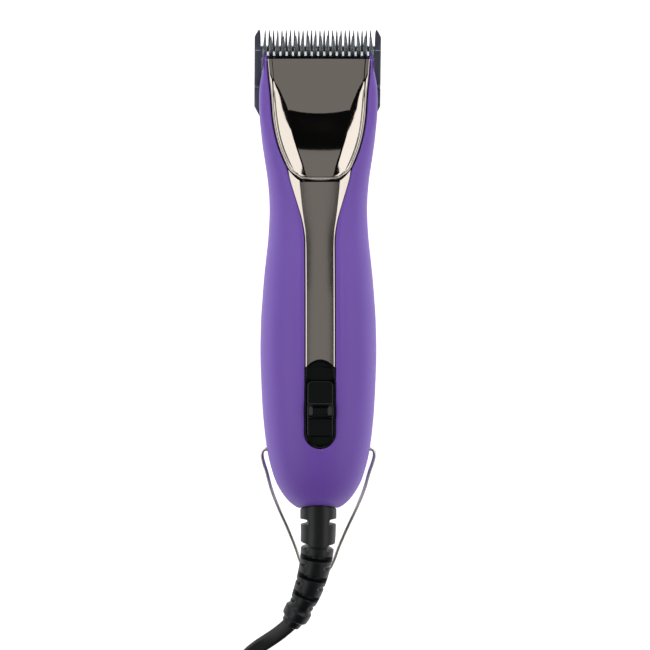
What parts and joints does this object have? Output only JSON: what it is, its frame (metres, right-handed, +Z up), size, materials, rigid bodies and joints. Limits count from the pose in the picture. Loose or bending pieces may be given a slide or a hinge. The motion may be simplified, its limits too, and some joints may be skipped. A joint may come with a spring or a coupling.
{
  "type": "electric pet clipper",
  "caption": "Corded pet grooming clipper with a slim waisted housing, metal nose cap, slide switch, detachable toothed blade on a hinge, wire hanger, ribbed strain relief and coiled lead.",
  "frame": {"origin": "bottom centre of the clipper lying on its back, without its lead", "axes": "+Y towards the blade tips along the housing, +Z up through the switch side, +X across the blade"},
  "size_m": [0.0612, 0.3866, 0.0436],
  "materials": {
    "purple_housing": "soft touch satin, purple",
    "cap_gunmetal": "mirror gloss, dark warm gunmetal",
    "strip_gunmetal": "satin gunmetal with bright bevels",
    "black_plastic": "semi gloss black",
    "black_rubber": "satin black rubber",
    "cord_jacket": "semi gloss black flexible jacket",
    "steel": "machined",
    "bail_wire": "polished wire",
    "comb_steel": "dark blue grey finish",
    "cutter_steel": "ground and polished",
    "spring_steel": "tempered",
    "copper": "copper",
    "armature": "steel laminations with lacquered copper winding",
    "brass": "polished",
    "carbon": "dull",
    "magnet": "dull ferrite",
    "nylon": "natural",
    "board": "green lacquer"
  },
  "bodies": {
    "housing": {"front_housing": "purple_housing", "rear_housing": "purple_housing", "housing_screw_a": "steel", "housing_screw_b": "steel", "housing_screw_c": "steel", "housing_screw_d": "steel", "intake_screen": "black_plastic", "nose_cap": "cap_gunmetal", "centre_strip": "strip_gunmetal", "switch_bezel": "black_plastic", "switch_body": "black_plastic", "circuit_board": "board", "cord_clamp": "black_plastic", "motor_can": "steel", "motor_end_cap": "black_plastic", "motor_magnet_right": "magnet", "motor_magnet_left": "magnet", "motor_brush_right": "carbon", "motor_brush_left": "carbon", "bearing_rear": "steel", "bearing_front": "steel", "drive_frame": "steel", "gear_axle": "steel", "lever_pivot_pin": "steel", "hinge_bracket": "steel", "hinge_screw_left": "steel", "hinge_screw_right": "steel", "hinge_pin": "steel", "latch_spring": "spring_steel", "strain_relief": "black_rubber", "cord_lead": "cord_jacket", "cord_hank": "cord_jacket", "cord_tie": "black_rubber", "plug_body": "black_rubber", "plug_blade_left": "brass", "plug_blade_right": "brass"},
    "slider": {"switch_slider": "black_plastic"},
    "rotor": {"armature_shaft": "steel", "armature_core": "armature", "commutator": "copper", "cooling_fan": "nylon", "drive_pinion": "brass"},
    "crank": {"crank_gear": "nylon", "crank_roller": "steel"},
    "lever": {"drive_lever": "steel"},
    "tongue": {"hinge_tongue": "steel"},
    "blade_set": {"blade_comb": "comb_steel", "blade_socket": "steel", "tension_spring_left": "spring_steel", "tension_spring_right": "spring_steel", "blade_screw_left": "steel", "blade_screw_right": "steel"},
    "cutter": {"blade_cutter": "cutter_steel"},
    "latch": {"latch_button": "black_plastic"},
    "bail": {"hanging_bail": "bail_wire"}
  },
  "joints": [
    {"name": "switch_slide", "type": "slide", "parent": "housing", "child": "slider", "axis": [0, 1, 0], "range_m": [0, 0.006]},
    {"name": "crank_spin", "type": "hinge", "parent": "housing", "child": "crank", "pos_m": [0, 0.05834, 0.0225], "axis": [0, 0, 1], "continuous": true},
    {"name": "rotor_spin", "type": "hinge", "parent": "housing", "child": "rotor", "pos_m": [0, 0.01034, 0.017], "axis": [0, 1, 0], "continuous": true},
    {"name": "blade_hinge", "type": "hinge", "parent": "housing", "child": "tongue", "pos_m": [0, 0.08134, 0.008], "axis": [-1, 0, 0], "range_deg": [0, 50]},
    {"name": "blade_slide_off", "type": "slide", "parent": "tongue", "child": "blade_set", "axis": [0, 0.9659, 0.2588], "range_m": [0, 0.014]},
    {"name": "cutter_slide", "type": "slide", "parent": "blade_set", "child": "cutter", "axis": [1, 0, 0], "range_m": [-0.0013, 0.0013]},
    {"name": "lever_rock", "type": "hinge", "parent": "housing", "child": "lever", "pos_m": [0, 0.07734, 0.025], "axis": [0, 0, 1], "range_deg": [-3.8, 3.8]},
    {"name": "latch_press", "type": "slide", "parent": "housing", "child": "latch", "axis": [0, -0.9659, -0.2588], "range_m": [0, 0.0025], "stiffness_N_per_m": 600, "springref_m": -0.001},
    {"name": "bail_swing", "type": "hinge", "parent": "housing", "child": "bail", "pos_m": [0, -0.04666, 0.02], "axis": [1, 0, 0], "range_deg": [-4, 72]}
  ],
  "couplings": [
    {"joint": "rotor_spin", "follows": "crank_spin", "ratio": 4},
    {"joint": "lever_rock", "follows": "cutter_slide", "rad_per_m": -50.25}
  ]
}
